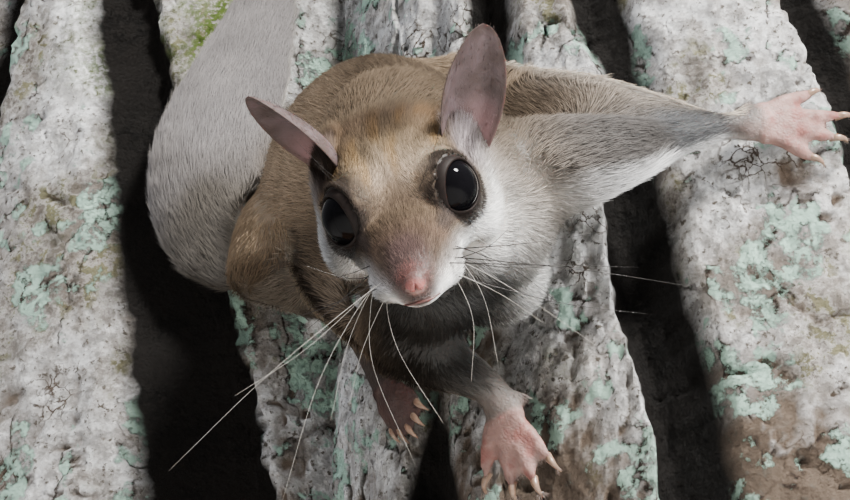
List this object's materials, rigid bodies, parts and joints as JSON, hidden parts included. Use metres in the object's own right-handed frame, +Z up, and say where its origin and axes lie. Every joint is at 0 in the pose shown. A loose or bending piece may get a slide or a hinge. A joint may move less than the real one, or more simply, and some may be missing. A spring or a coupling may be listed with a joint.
{
  "type": "flying squirrel on a trunk",
  "caption": "Flying squirrel clinging head down to a cut length of furrowed trunk, one arm stretched out, on a plain display stand.",
  "frame": {"origin": "middle of the underside of the base plate", "axes": "+Z up; the camera's side of the trunk, where the animal clings, faces -Y; the stretched left arm points to +X"},
  "size_m": [0.2401, 0.2055, 0.288],
  "materials": {
    "fur": "short dense fur, tan brown above and cream white below",
    "ear_skin": "thin bare skin, matte",
    "bare_skin": "bare pink skin, slightly moist",
    "eye": "gloss",
    "bark": "rough furrowed bark with lichen",
    "oak": "oiled",
    "steel": "satin"
  },
  "bodies": {
    "root": {"torso_front": "fur", "torso_rear": "fur", "neck": "fur", "head": "fur", "arm_left": "fur", "arm_right": "fur", "leg_left": "fur", "leg_right": "fur", "membrane_left": "fur", "membrane_right": "fur", "tail": "fur", "ear_left": "ear_skin", "ear_right": "ear_skin", "hand_left": "bare_skin", "hand_right": "bare_skin", "foot_left": "bare_skin", "foot_right": "bare_skin", "eye_left": "eye", "eye_right": "eye", "perch_trunk": "bark", "stand_base": "oak", "stand_rod_left": "steel", "stand_rod_right": "steel"}
  },
  "joints": []
}
